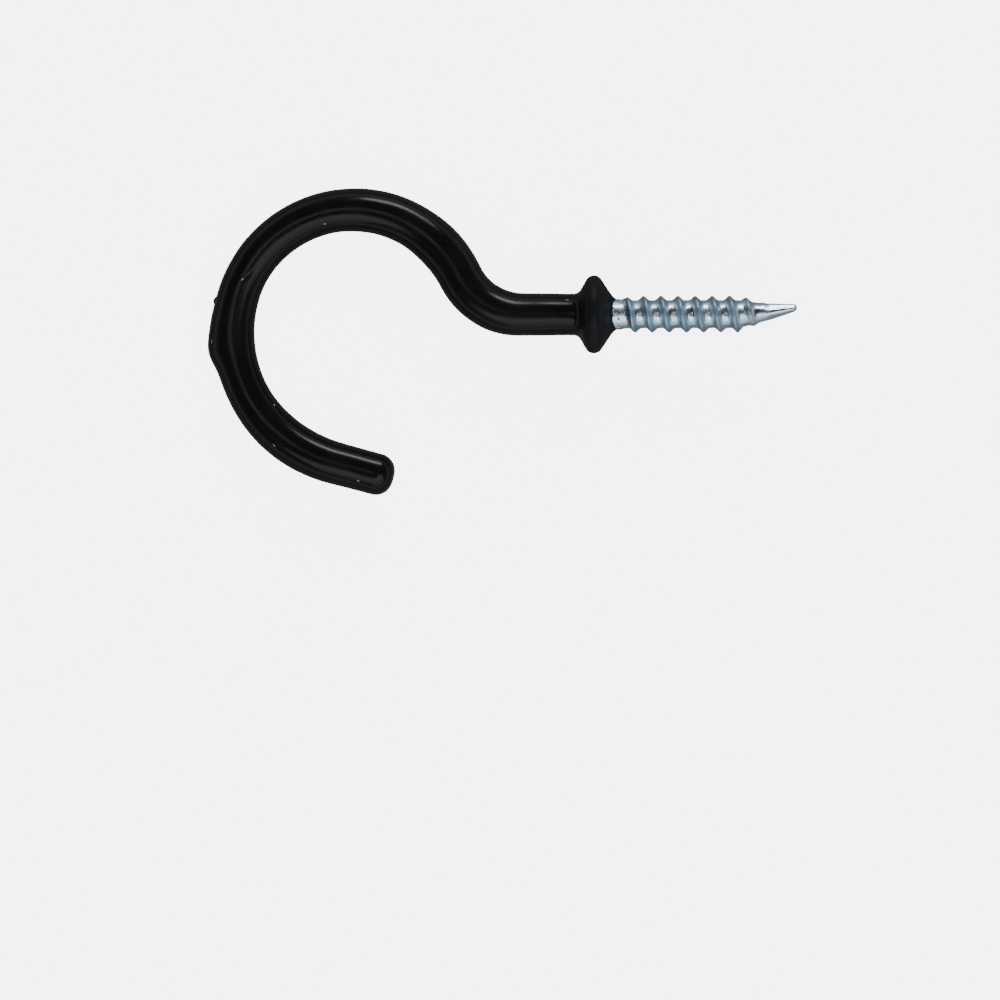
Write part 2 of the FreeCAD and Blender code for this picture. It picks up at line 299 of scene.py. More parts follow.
# %% Walk the outer skin
RING_POINTS = 56
STRIDE = 0.62 * MM
COAT_TOP = 4.87 * MM
COAT_ROUNDING = 1.15 * MM
COAT_FRONT_LEAN = 33.0
COAT_CREEP = 0.24 * MM
DIP_EDGE_RADIUS = 1.98 * MM
COAT_NECK = 2.6 * MM
COAT_FILLET = 1.1 * MM
CAP_WALL = 0.95 * MM
CAP_ROUNDING = 2.1 * MM
CAP_STEPS = 9
CROWN_SHRINKS = (0.60, 0.35)
CROWN_RISE = 0.008 * MM

outline = collar_outline(COAT_TOP, COAT_ROUNDING, COAT_FRONT_LEAN, DIP_EDGE_RADIUS,
                         COAT_NECK, COAT_FILLET, COAT_CREEP)
skin = Ring("dipped_coat", outline[0][0], DIP_EDGE_RADIUS, RING_POINTS)
walk_outline(skin, outline[1:])
walk_wire(skin, STRIDE, coat_radius, TAIL_LENGTH + CAP_WALL - CAP_ROUNDING)
tip_radius = skin.radius
for k in range(1, CAP_STEPS + 1):
    angle, before = math.pi / 2 * k / CAP_STEPS, math.pi / 2 * (k - 1) / CAP_STEPS
    advance = CAP_ROUNDING * (math.sin(angle) - math.sin(before))
    skin.push(advance, tip_radius - CAP_ROUNDING * (1 - math.cos(angle)))
for shrink in CROWN_SHRINKS:
    skin.push(CROWN_RISE, skin.radius * shrink)
skin.close()
bpy.ops.object.mode_set(mode="OBJECT")
coat = skin.body
print("outer skin:", len(coat.data.vertices), "points, lip at",
      [round(c / MM, 2) for c in skin.centre])

# %% [markdown]
# The vinyl is a sleeve, not a solid bar: it has an inside that grips the steel.
# The inside is walked along the same legs at the steel's own radius and a hair
# more, so the two are not drawn on one another. It faces the other way, so its
# faces are turned over before the two skins are joined, and the dip line is
# bridged.

# %% Walk the inside and bridge the dip line
WIRE_RADIUS = 1.92 * MM
WIRE_NECK_FILLET = 0.8 * MM
INSIDE_STRIDE = 2.4 * MM
HAIR = 0.01 * MM


def steel_radius(walked):
    """Radius of the plain wire, the same everywhere."""
    return WIRE_RADIUS


def hair_wider(walked):
    """Radius of the sleeve's inside, the same everywhere."""
    return WIRE_RADIUS + HAIR


steel_outline = collar_outline(RIM_RADIUS, RIM_ROUNDING, FRONT_LEAN, WIRE_RADIUS,
                               WIRE_RADIUS, WIRE_NECK_FILLET)
inside = Ring("coat_inside", outline[0][0] + HAIR, WIRE_RADIUS + HAIR, RING_POINTS)
walk_outline(inside, [(x, radius + HAIR) for x, radius in steel_outline])
walk_wire(inside, INSIDE_STRIDE, hair_wider, TAIL_LENGTH + HAIR)
inside.close()
bpy.ops.mesh.select_all(action="SELECT")
bpy.ops.mesh.normals_make_consistent(inside=False)
bpy.ops.mesh.flip_normals()
bpy.ops.object.mode_set(mode="OBJECT")

bpy.ops.object.select_all(action="DESELECT")
coat.select_set(True)
bpy.context.view_layer.objects.active = coat
bpy.ops.object.mode_set(mode="EDIT")
bpy.ops.mesh.select_all(action="SELECT")
bpy.ops.mesh.normals_make_consistent(inside=False)
bpy.ops.object.mode_set(mode="OBJECT")
skin_group = coat.vertex_groups.new(name="outer_skin")
skin_group.add([v.index for v in coat.data.vertices], 1.0, "REPLACE")
inside.body.select_set(True)
bpy.ops.object.join()


def bridge_open_edges(body):
    """Selects every open edge of a mesh and bridges the two loops they make."""
    bpy.ops.object.mode_set(mode="EDIT")
    bpy.ops.mesh.select_mode(type="EDGE")
    bpy.ops.mesh.select_all(action="DESELECT")
    bpy.ops.mesh.select_non_manifold(
        extend=False, use_wire=False, use_multi_face=False, use_non_contiguous=False,
        use_verts=False)
    bpy.ops.mesh.bridge_edge_loops()
    bpy.ops.mesh.select_mode(type="VERT")
    bpy.ops.object.mode_set(mode="OBJECT")
    print(body.name, "now has", len(body.data.polygons), "faces")


bridge_open_edges(coat)

# %% [markdown]
# A dip line is never a clean circle: surface tension drags it back on the top of
# the wire and leaves a feathered, slightly torn edge. The edge ring is pulled
# back on its top and shaken a little. Soft selection (proportional editing)
# lets the skin behind it follow.

# %% Pull and tear the dip line
DIP_PULL = 0.34 * MM
DIP_REACH = 1.9 * MM
DIP_TOP = 0.9 * WIRE_RADIUS
DIP_TEAR = 0.10 * MM
TEAR_DEPTH = 0.45 * MM
TEAR_EVENNESS = 0.4
TEAR_SEED = 7


def pick(body, test):
    """Selects the points of a mesh that pass a test and returns how many did."""
    bpy.ops.object.select_all(action="DESELECT")
    body.select_set(True)
    bpy.context.view_layer.objects.active = body
    bpy.ops.object.mode_set(mode="EDIT")
    bpy.ops.mesh.select_mode(type="VERT")
    bpy.ops.mesh.select_all(action="DESELECT")
    bpy.ops.object.mode_set(mode="OBJECT")
    chosen = 0
    for v in body.data.vertices:
        if test(v.co):
            v.select = True
            chosen += 1
    bpy.ops.object.mode_set(mode="EDIT")
    return chosen


def drag(shift, reach):
    """Moves the selected points, and those within reach of them by less."""
    bpy.ops.transform.translate(
        value=shift, use_proportional_edit=True, proportional_size=reach,
        proportional_edit_falloff="SMOOTH")


edge_x = outline[0][0]
count = pick(coat, lambda p: abs(p.x - edge_x) < 2 * HAIR and p.z > DIP_TOP)
drag((-DIP_PULL, 0, 0), DIP_REACH)
bpy.ops.object.mode_set(mode="OBJECT")
pick(coat, lambda p: p.x > edge_x - TEAR_DEPTH)
bpy.ops.transform.vertex_random(
    offset=DIP_TEAR, uniform=TEAR_EVENNESS, normal=0, seed=TEAR_SEED)
bpy.ops.object.mode_set(mode="OBJECT")
print("dip line pulled from", count, "points")

# %% [markdown]
# The hook hung by its screw while the vinyl set, so one heavy drop crept round to
# the outside of the loop and froze there. It is raised in two drags on the
# outermost line: a wide one a little up the run, for the long flank that feeds
# a drop, and a short one further on, for its round head.

# %% Raise the frozen run
DRIP_TURN = 15.9
DRIP_TRAIL = 2.4 * MM
DRIP_FLANK, DRIP_FLANK_REACH = 0.40 * MM, 5.0 * MM
DRIP_HEAD, DRIP_HEAD_REACH = 0.42 * MM, 3.2 * MM
DRIP_GRIP = 0.55 * MM


def wire_point(walked):
    """The middle line's point and outward direction at a distance from the rim."""
    here = Vector((-min(walked, NECK_LENGTH), 0, 0))
    heading, rest = math.pi, walked - NECK_LENGTH
    for (bend_radius, turn), length in zip(BENDS, bend_lengths):
        if rest <= 0:
            break
        share = min(1.0, rest / length)
        side = math.copysign(1, turn)
        out = Vector((math.sin(heading), -math.cos(heading), 0)) * side
        hub = here - out * bend_radius
        swing = math.radians(turn) * share
        here = hub + Matrix.Rotation(swing, 3, "Z") @ (here - hub)
        heading += swing
        rest -= length
    if rest > 0:
        here = here + Vector((math.cos(heading), math.sin(heading), 0)) * rest
    return here, Vector((math.sin(heading), -math.cos(heading), 0))


drip_at = NECK_LENGTH + sum(bend_lengths[:2]) + LIP_RADIUS * math.radians(DRIP_TURN)
drip_top = None
for station, height, reach in ((drip_at - DRIP_TRAIL, DRIP_FLANK, DRIP_FLANK_REACH),
                               (drip_at, DRIP_HEAD, DRIP_HEAD_REACH)):
    centre, out = wire_point(station)
    drip_top = max((v.co for v in coat.data.vertices
                    if (v.co - centre - out * coat_radius(station)).length < 2 * DRIP_GRIP),
                   key=lambda p: (p - centre).dot(out)).copy()
    pick(coat, lambda p: (p - drip_top).length < DRIP_GRIP)
    drag(out * height, reach)
    bpy.ops.object.mode_set(mode="OBJECT")
print("run frozen at, in mm:", [round(c / MM, 2) for c in drip_top])

# %% [markdown]
# One level of subdivision rounds the skin, whose cells are then about 0.3 mm long
# and 0.15 mm wide. Then a weak displacement with a cloud texture makes the sleeve very slightly
# uneven, which is what bends the long reflections. Only the outer skin moves,
# by its vertex group, so the sleeve still fits the steel.

# %% Round and trouble the skin
UNEVEN = 0.10 * MM
UNEVEN_SIZE = 7.0 * MM

bpy.ops.object.select_all(action="DESELECT")
coat.select_set(True)
bpy.context.view_layer.objects.active = coat
rounding = coat.modifiers.new("round the cells", "SUBSURF")
rounding.levels = 1
rounding.render_levels = 1
bpy.ops.object.modifier_apply(modifier=rounding.name)
clouds = bpy.data.textures.new("dip_unevenness", "CLOUDS")
clouds.noise_scale = UNEVEN_SIZE
clouds.noise_depth = 1
trouble = coat.modifiers.new("uneven dip", "DISPLACE")
trouble.texture = clouds
trouble.texture_coords = "LOCAL"
trouble.vertex_group = "outer_skin"
trouble.strength = UNEVEN
trouble.mid_level = 0.5
bpy.ops.object.modifier_apply(modifier=trouble.name)
print("coat has", len(coat.data.polygons), "faces")

# %% [markdown]
# Small accidents are pressed into the finished skin one by one: a short diagonal
# cut on the shoulder of the loop, a few specks of grit raised in the
# surface, and one crumb of vinyl stuck to the outer edge. Each is a few points
# moved along the skin's own normal with a short soft reach. A place is how far
# along the wire it lies and how far it leans outwards from straight up. A speck
# also marks its nearest point, in an attribute where the vinyl's colour paints a
# pale glint on it, a painted highlight.

# %% Nick and speck the skin
CUT_START, CUT_END, CUT_STEPS = (51.9, -3.0), (50.6, -14.0), 5
CUT_DEPTH, CUT_REACH = 0.07 * MM, 0.22 * MM
# Each grit speck is raised in the skin and also gets a painted highlight, a pale glint.
GRIT_AND_GLINTS = [(38.6, -33.0), (52.0, 0.0), (59.8, 62.0), (84.2, 31.0), (69.7, -53.0), (73.6, 33.0),
        (3.1, 41.0)]
GRIT_RISE, GRIT_REACH = 0.03 * MM, 0.20 * MM
CRUMB = (55.2, 88.0)
CRUMB_RISE, CRUMB_REACH = 0.22 * MM, 0.34 * MM
PRESS_GRIP = 0.6


def skin_spot(walked, tilt):
    """A place on the top of the skin: tilt is degrees from straight up, outwards."""
    centre, out = wire_point(walked)
    angle = math.radians(tilt)
    normal = out * math.sin(angle) + Vector((0, 0, 1)) * math.cos(angle)
    return centre + normal * coat_radius(walked), normal


def press(spot, normal, depth, reach):
    """Presses (or with a negative depth raises) the skin round one place."""
    pick(coat, lambda p: (p - spot).length < PRESS_GRIP * reach)
    drag(-normal * depth, reach)
    bpy.ops.object.mode_set(mode="OBJECT")


for k in range(CUT_STEPS):
    share = k / (CUT_STEPS - 1)
    walked = CUT_START[0] + (CUT_END[0] - CUT_START[0]) * share
    tilt = CUT_START[1] + (CUT_END[1] - CUT_START[1]) * share
    press(*skin_spot(walked * MM, tilt), CUT_DEPTH, CUT_REACH)
# Painted highlight: the attribute marks where a pale glint is painted on each grit speck.
coat.data.attributes.new("painted_glint", "FLOAT", "POINT")
for walked, tilt in GRIT_AND_GLINTS:
    spot, normal = skin_spot(walked * MM, tilt)
    press(spot, normal, -GRIT_RISE, GRIT_REACH)
    nearest = min(coat.data.vertices, key=lambda v: (v.co - spot).length)
    coat.data.attributes["painted_glint"].data[nearest.index].value = 1.0
press(*skin_spot(CRUMB[0] * MM, CRUMB[1]), -CRUMB_RISE, CRUMB_REACH)
print("pressed", CUT_STEPS + len(GRIT_AND_GLINTS) + 1, "small marks")

# %% [markdown]
# The steel wire under the vinyl is hidden but real: its collar and bends are
# walked like the sleeve, at the plain wire radius, and end in a chamfered cut.
# Its front ring waits open, just under the dip line, for the thread.

# %% Walk the bare wire
STEEL_POINTS = 48
STEEL_STRIDE = 2.4 * MM
JOIN_X = 2.15 * MM
JOIN_GAP = 0.05 * MM
CUT_CHAMFER = 0.25 * MM

wire = Ring("plated_steel", JOIN_X - JOIN_GAP, WIRE_RADIUS, STEEL_POINTS)
walk_outline(wire, steel_outline)
walk_wire(wire, STEEL_STRIDE, steel_radius, TAIL_LENGTH - CUT_CHAMFER)
wire.push(CUT_CHAMFER, WIRE_RADIUS - CUT_CHAMFER)
wire.close()
bpy.ops.mesh.select_all(action="SELECT")
bpy.ops.mesh.normals_make_consistent(inside=False)
bpy.ops.object.mode_set(mode="OBJECT")
steel = wire.body
print("wire:", len(steel.data.vertices), "points")

# %% [markdown]
# A wood-screw thread is rolled: one blunt ridge with hollow flanks, far apart, on
# an almost plain root. One pitch of its outline is drawn as a chain of extruded
# points and swept by the Screw modifier. The sweep follows the ridge, so the
# crest stays crisp with few faces, which a plain grid of rings would not do.

# %% Draw one pitch of thread
PITCH = 2.12 * MM
ROOT_RADIUS = 1.75 * MM
CREST_HEIGHT = 0.54 * MM
CREST_HALF = 0.24 * MM
CREST_DROP = 0.26
RIDGE_HALF = 0.74 * MM
FLANK_POWER = 1.3
FIRST_CREST = 4.04 * MM
PROFILE_STEPS = 28
PROFILE_EVEN, PROFILE_CROWDED = 0.45, 0.55
THREAD_TURNS = 13
TURN_STEPS = 96


def ridge_height(offset):
    """Height of the thread's outline at a distance along the screw from a crest."""
    away = abs(offset)
    if away <= CREST_HALF:
        return CREST_HEIGHT * (1 - CREST_DROP * (away / CREST_HALF) ** 2)
    down = min(1, (away - CREST_HALF) / (RIDGE_HALF - CREST_HALF))
    return CREST_HEIGHT * (1 - CREST_DROP) * (1 - down) ** FLANK_POWER


def profile_offset(share):
    """Places along one pitch, closer together near the crest."""
    centred = 2 * share - 1
    return PITCH / 2 * (PROFILE_EVEN * centred + PROFILE_CROWDED * centred ** 3)


start_x = FIRST_CREST - 2 * PITCH
offsets = [profile_offset(k / PROFILE_STEPS) for k in range(PROFILE_STEPS + 1)]
profile = [(start_x + offset, ROOT_RADIUS + ridge_height(offset)) for offset in offsets]
bpy.ops.object.select_all(action="DESELECT")
bpy.ops.mesh.primitive_plane_add(size=MM, location=(profile[0][0], profile[0][1], 0))
thread = bpy.context.object
thread.name = "thread"
bpy.ops.object.transform_apply(location=True, rotation=True, scale=True)
bpy.ops.object.mode_set(mode="EDIT")
bpy.ops.mesh.select_all(action="SELECT")
bpy.ops.mesh.merge(type="CENTER")
for (x, radius), (next_x, next_radius) in zip(profile, profile[1:]):
    bpy.ops.mesh.extrude_vertices_move(
        TRANSFORM_OT_translate={"value": (next_x - x, next_radius - radius, 0)})
bpy.ops.object.mode_set(mode="OBJECT")
print("one pitch has", len(thread.data.vertices), "points")

# %% [markdown]
# The Screw modifier turns the chain round the X axis and moves it one pitch on
# with every turn, thirteen turns in all. The end of one turn lies on the start
# of the next, so the doubled points are merged into one closed skin.

# %% Sweep the thread
DOUBLE_GAP = 0.0005 * MM


def merge_doubles(body, gap):
    """Merges the points of a mesh that lie closer than the gap."""
    bpy.ops.object.select_all(action="DESELECT")
    body.select_set(True)
    bpy.context.view_layer.objects.active = body
    bpy.ops.object.mode_set(mode="EDIT")
    bpy.ops.mesh.select_all(action="SELECT")
    bpy.ops.mesh.remove_doubles(threshold=gap)
    bpy.ops.mesh.normals_make_consistent(inside=False)
    bpy.ops.object.mode_set(mode="OBJECT")


sweep = thread.modifiers.new("sweep", "SCREW")
sweep.axis = "X"
sweep.angle = 2 * math.pi
sweep.screw_offset = PITCH
sweep.iterations = THREAD_TURNS
sweep.steps = TURN_STEPS
sweep.render_steps = TURN_STEPS
sweep.use_smooth_shade = True
bpy.ops.object.modifier_apply(modifier=sweep.name)
merge_doubles(thread, DOUBLE_GAP)
print("thread:", len(thread.data.polygons), "faces")

# %% [markdown]
# The plain body of the screw, without its ridge, comes next. The shank narrows
# to the root, then the nose and the point narrow in two tapers whose middle
# drifts sideways, because these points are nipped off between dies and never
# turned. Two functions say how thick it is and where its middle lies.

# %% How the screw narrows
SCREW_LENGTH = 25.15 * MM
SHANK_END, ROOT_START = 3.0 * MM, 4.2 * MM
NOSE_START, NOSE_END = 18.0 * MM, 21.3 * MM
NOSE_RADIUS, NOSE_SHIFT = 1.06 * MM, 0.21 * MM
TIP_RADIUS, TIP_SHIFT = 0.40 * MM, 0.80 * MM
TIP_ROUNDING = 0.42 * MM
CORNER_SOFTENING = 0.35 * MM


def tapered(x, along_points):
    """Reads a value from (x, value) corners joined by straight runs."""
    for (x0, v0), (x1, v1) in zip(along_points, along_points[1:]):
        if x <= x1:
            return v0 + (v1 - v0) * max(0, (x - x0) / (x1 - x0))
    return along_points[-1][1]


def core_radius(x):
    """Radius of the screw without its ridge."""
    corners = [(SHANK_END, WIRE_RADIUS), (ROOT_START, ROOT_RADIUS), (NOSE_START, ROOT_RADIUS),
               (NOSE_END, NOSE_RADIUS), (SCREW_LENGTH, TIP_RADIUS)]
    radius = sum(tapered(x + shift, corners)
                 for shift in (-CORNER_SOFTENING, 0, CORNER_SOFTENING)) / 3
    left = (SCREW_LENGTH - x) / TIP_ROUNDING
    if left < 1:
        radius *= math.sqrt(max(0.0, 1 - (1 - left) ** 2))
    return radius


def core_shift(x):
    """How far the middle of the screw has drifted to one side."""
    return tapered(x, [(NOSE_START, 0), (NOSE_END, NOSE_SHIFT), (SCREW_LENGTH, TIP_SHIFT)])


print("nose narrows from", round(core_radius(NOSE_START) / MM, 2), "to",
      round(core_radius(NOSE_END) / MM, 2), "mm")

# %% [markdown]
# The swept thread is cut square where it meets the wire and at the point. A cut
# leaves slivers where it grazes a point of the mesh, and they are merged away,
# so that both ends are clean rings which can be closed.

# %% Cut both ends square
TIP_CUT = SCREW_LENGTH - 0.03 * MM
CUT_GRIP = 0.0001 * MM
SLIVER = 0.002 * MM


def cut_square(body, x, keep_high):
    """Cuts a mesh with a plane across the screw and keeps one side."""
    bpy.ops.object.mode_set(mode="EDIT")
    bpy.ops.mesh.select_all(action="SELECT")
    bpy.ops.mesh.bisect(plane_co=(x, 0, 0), plane_no=(1, 0, 0), threshold=CUT_GRIP,
                        clear_inner=keep_high, clear_outer=not keep_high)
    bpy.ops.object.mode_set(mode="OBJECT")


cut_square(thread, JOIN_X, True)
cut_square(thread, TIP_CUT, False)
merge_doubles(thread, SLIVER)
print("thread cut to", len(thread.data.vertices), "points")

# %% [markdown]
# The real screw's form is given to the thread point by point, as a sculptor's
# brush would. The ridge fades in at the shank and out on the nose, its crest is
# a little uneven, the point is pinched nearly four-sided and the whole is
# faintly beaten. How high each point of the ridge stands is kept in an
# attribute, because the crest is set rougher and gets painted shade, darker and bluer than the
# root.

# %% Shape the screw
FADE_IN, FADE_IN_RUN = 2.8 * MM, 2.1 * MM
FADE_OUT, FADE_OUT_RUN = 17.4 * MM, 4.7 * MM
CREST_UNEVEN, UNEVEN_STEP, UNEVEN_ROUND = 0.10, 2.2 * MM, 1.4
PINCH, PINCH_SIDES, PINCH_TURN = 0.075, 4, 0.9
PINCH_START, PINCH_RUN = NOSE_END - 1.0 * MM, 2.0 * MM
BEATEN, BEATEN_STEP = 0.020 * MM, 0.9 * MM
BEATEN_PLACE = Vector((3, 1, 2))

crest_highest = 0
thread.data.attributes.new("crest", "FLOAT", "POINT")
for v in thread.data.vertices:
    x = v.co.x
    radius = math.hypot(v.co.y, v.co.z)
    angle = math.atan2(v.co.z, v.co.y)
    fade = eased((x - FADE_IN) / FADE_IN_RUN) * (1 - eased((x - FADE_OUT) / FADE_OUT_RUN))
    knock = noise.noise(Vector((x / UNEVEN_STEP, UNEVEN_ROUND * math.cos(angle),
                                UNEVEN_ROUND * math.sin(angle))))
    ridge = (radius - ROOT_RADIUS) * fade * (1 + CREST_UNEVEN * knock)
    pinched = 1 + PINCH * eased((x - PINCH_START) / PINCH_RUN) * math.cos(
        PINCH_SIDES * angle - PINCH_TURN)
    dent = BEATEN * noise.noise(v.co / BEATEN_STEP + BEATEN_PLACE)
    new_radius = core_radius(x) * pinched + ridge + dent * min(1, core_radius(x) / MM)
    crest_highest = max(crest_highest, new_radius)
    thread.data.attributes["crest"].data[v.index].value = ridge / CREST_HEIGHT
    v.co.y = core_shift(x) + new_radius * math.cos(angle)
    v.co.z = new_radius * math.sin(angle)
print("highest crest:", round(crest_highest / MM, 2), "mm from the axis")

# %% [markdown]
# The open point is closed with one last point, the thread is joined to the wire
# and the two open rings under the vinyl are bridged. They have different
# numbers of points, which a bridge can take.

# %% Close the point and join the wire
TIP_RISE = 0.02 * MM

count = pick(thread, lambda p: abs(p.x - TIP_CUT) < DOUBLE_GAP)
print("point closed from", count, "points")
bpy.ops.mesh.extrude_region_move(TRANSFORM_OT_translate={"value": (TIP_RISE, 0, 0)})
bpy.ops.mesh.merge(type="CENTER")
bpy.ops.object.mode_set(mode="OBJECT")
bpy.ops.object.select_all(action="DESELECT")
thread.select_set(True)
steel.select_set(True)
bpy.context.view_layer.objects.active = steel
bpy.ops.object.join()
bridge_open_edges(steel)

# %% [markdown]
# Both pieces are carried to the floor: their meshes are moved by the bench
# matrix, so each object itself stays at the origin, unturned, as the packed
# nodes are. Smooth shading keeps the round skins round.

# %% Carry both pieces to the floor
for body in (coat, steel):
    body.data.transform(to_floor)
    body.data.update()
    bpy.ops.object.select_all(action="DESELECT")
    body.select_set(True)
    bpy.context.view_layer.objects.active = body
    bpy.ops.object.shade_smooth()
    triangles = sum(len(p.vertices) - 2 for p in body.data.polygons)
    print(body.name, "has", triangles, "triangles")

# %% [markdown]
# Both finishes need patterns that run with the screw, not with the floor. A
# Mapping node turns Object coordinates back to the bench, so that X is again
# the distance from the rim. A small helper adds a node, sets its values and
# joins it up, which keeps each material readable.

# %% Helpers for materials
to_bench = to_floor.inverted()


def add(tree, kind, links=None, **values):
    """Adds a node. links gives sockets to join or numbers to set, by socket name."""
    made = tree.nodes.new(kind)
    for name, value in values.items():
        setattr(made, name, value)
    for name, value in (links or {}).items():
        socket = made.inputs[name]
        if isinstance(value, bpy.types.NodeSocket):
            tree.links.new(value, socket)
        else:
            socket.default_value = value
    return made


def new_material(name):
    """An empty material and its node tree."""
    material = bpy.data.materials.new(name)
    material.use_nodes = True
    material.node_tree.nodes.clear()
    return material, material.node_tree


def bench_place(tree):
    """Object coordinates turned back to the bench, in metres."""
    place = add(tree, "ShaderNodeTexCoord").outputs["Object"]
    return add(tree, "ShaderNodeMapping", {
        "Vector": place, "Location": to_bench.to_translation(),
        "Rotation": to_bench.to_euler()}).outputs["Vector"]


def ramp(tree, value, low, high):
    """Spreads a value between low and high over 0 to 1."""
    return add(tree, "ShaderNodeMapRange", {
        "Value": value, "From Min": low, "From Max": high}).outputs["Result"]


def maths(tree, kind, one, two, three=0.0):
    """One step of arithmetic on values or sockets."""
    return add(tree, "ShaderNodeMath", {0: one, 1: two, 2: three}, operation=kind).outputs[0]


def colour_mix(tree, share, one, two):
    """One colour where share is 0 and the other where it is 1."""
    colour_a, colour_b = 6, 7
    return add(tree, "ShaderNodeMix", {
        0: share, colour_a: one, colour_b: two}, data_type="RGBA").outputs[2]


def grouped(tree, group, **values):
    """Places a node group. Its sockets are set or joined by name."""
    made = add(tree, "ShaderNodeGroup", node_tree=group)
    for name, value in values.items():
        socket = made.inputs[name.replace("_", " ")]
        if isinstance(value, bpy.types.NodeSocket):
            tree.links.new(value, socket)
        else:
            socket.default_value = value
    return made


print("bench turned back by", round(math.degrees(to_bench.to_euler().y), 2), "degrees")

# %% [markdown]
# Dust, grit and splashes are all the same thing at different sizes: small round
# spots scattered here and there. One node group makes them. It drops a spot in
# each Voronoi cell, keeps only a share of the cells and gives back a mask.

# %% The spots group
SPOT_SOFTNESS = 1.25

spots = bpy.data.node_groups.new("scattered_spots", "ShaderNodeTree")
for name, kind in (("Place", "NodeSocketVector"), ("Scale", "NodeSocketFloat"),
                   ("Size", "NodeSocketFloat"), ("Share", "NodeSocketFloat")):
    spots.interface.new_socket(name=name, in_out="INPUT", socket_type=kind)
spots.interface.new_socket(name="Mask", in_out="OUTPUT", socket_type="NodeSocketFloat")
given = add(spots, "NodeGroupInput")
cells = add(spots, "ShaderNodeTexVoronoi", {
    "Vector": given.outputs["Place"], "Scale": given.outputs["Scale"]}, feature="F1")
chance = add(spots, "ShaderNodeSeparateColor", {"Color": cells.outputs["Color"]}).outputs[0]
kept = maths(spots, "LESS_THAN", chance, given.outputs["Share"])
soft_size = maths(spots, "MULTIPLY", given.outputs["Size"], SPOT_SOFTNESS)
edge = add(spots, "ShaderNodeMapRange", {
    "Value": cells.outputs["Distance"], "From Min": given.outputs["Size"],
    "From Max": soft_size, "To Min": 1.0, "To Max": 0.0}).outputs["Result"]
add(spots, "NodeGroupOutput", {"Mask": maths(spots, "MULTIPLY", kept, edge)})
print("spots group has", len(spots.nodes), "nodes")

# %% [markdown]
# Handling leaves a soft, patchy change of gloss and a fine waviness on any
# finish. The second group gives a gloss mask, which feeds roughness, and a
# height, which feeds a Bump node, so each material sets its own strength.

# %% The handling group
PATCH_LOW, PATCH_HIGH = 0.35, 0.70
FINE_SHARE = 0.35

handling = bpy.data.node_groups.new("handling_marks", "ShaderNodeTree")
for name, kind in (("Place", "NodeSocketVector"), ("Patch Scale", "NodeSocketFloat"),
                   ("Fine Scale", "NodeSocketFloat")):
    handling.interface.new_socket(name=name, in_out="INPUT", socket_type=kind)
for name in ("Gloss", "Height"):
    handling.interface.new_socket(name=name, in_out="OUTPUT", socket_type="NodeSocketFloat")
given = add(handling, "NodeGroupInput")
patches = add(handling, "ShaderNodeTexNoise", {
    "Vector": given.outputs["Place"], "Scale": given.outputs["Patch Scale"], "Detail": 3.0})
fine = add(handling, "ShaderNodeTexNoise", {
    "Vector": given.outputs["Place"], "Scale": given.outputs["Fine Scale"], "Detail": 2.0})
gloss = ramp(handling, patches.outputs[0], PATCH_LOW, PATCH_HIGH)
height = maths(handling, "MULTIPLY_ADD", fine.outputs[0], FINE_SHARE, patches.outputs[0])
add(handling, "NodeGroupOutput", {"Gloss": gloss, "Height": height})
print("handling group has", len(handling.nodes), "nodes")

# %% [markdown]
# Dipped vinyl is a soft plastic with an even gloss: nearly black, very slightly
# blue, with reflections that are a little soft. Its colour varies so little that
# the reflections do all the work, so the roughness hardly changes and the bump
# is faint. Over the collar the dip ran thin and set duller. A few specks of pale
# dust sit on it, and each grit speck that was pressed in gets a painted
# highlight, a pale glint in the same colour as the dust.

# %% Black vinyl
VINYL = (0.0058, 0.0060, 0.0078, 1)
VINYL_WORN = (0.0085, 0.0086, 0.0102, 1)
# Pale colour and roughness of the dust specks, also used for the painted glints (painted
# highlights) on the grit.
DUST_AND_GLINT = (0.42, 0.42, 0.43, 1)
DUST_AND_GLINT_ROUGH = 0.7
GLINT_EDGE = (0.25, 0.75)
VINYL_ROUGH = (0.19, 0.24)
VINYL_DULL = 0.32
VINYL_SPECULAR = 0.17
VINYL_WAVE = 0.004 * MM
DULL_FROM, DULL_TO = -1.9 * MM, -0.7 * MM

vinyl, tree = new_material("black_vinyl")
place = bench_place(tree)
marks = grouped(tree, handling, Place=place, Patch_Scale=260.0, Fine_Scale=1500.0)
dust = grouped(tree, spots, Place=place, Scale=300.0, Size=0.022, Share=0.02)
body_colour = colour_mix(tree, marks.outputs["Gloss"], VINYL, VINYL_WORN)
# Painted highlight: the attribute paints a pale glint on each grit speck.
glint_speck = add(tree, "ShaderNodeAttribute", attribute_name="painted_glint").outputs["Fac"]
pale = maths(tree, "MAXIMUM", dust.outputs["Mask"], ramp(tree, glint_speck, *GLINT_EDGE))
dust_and_glint_colour = colour_mix(tree, pale, body_colour, DUST_AND_GLINT)
rough = maths(tree, "MULTIPLY_ADD", marks.outputs["Gloss"], VINYL_ROUGH[1] - VINYL_ROUGH[0],
              VINYL_ROUGH[0])
from_rim = add(tree, "ShaderNodeSeparateXYZ", {"Vector": place}).outputs["X"]
rough_collar = maths(tree, "MULTIPLY_ADD", ramp(tree, from_rim, DULL_FROM, DULL_TO),
                     VINYL_DULL, rough)
rough_dust_and_glint = maths(tree, "MAXIMUM", rough_collar, maths(
    tree, "MULTIPLY", pale, DUST_AND_GLINT_ROUGH))
wave = add(tree, "ShaderNodeBump", {
    "Height": marks.outputs["Height"], "Strength": 1.0, "Distance": VINYL_WAVE})
shader = add(tree, "ShaderNodeBsdfPrincipled", {
    "Base Color": dust_and_glint_colour, "Roughness": rough_dust_and_glint, "Normal": wave.outputs["Normal"],
    "IOR": 1.5, "Specular IOR Level": VINYL_SPECULAR})
add(tree, "ShaderNodeOutputMaterial", {"Surface": shader.outputs[0]})
coat.data.materials.append(vinyl)
print("vinyl material has", len(tree.nodes), "nodes")
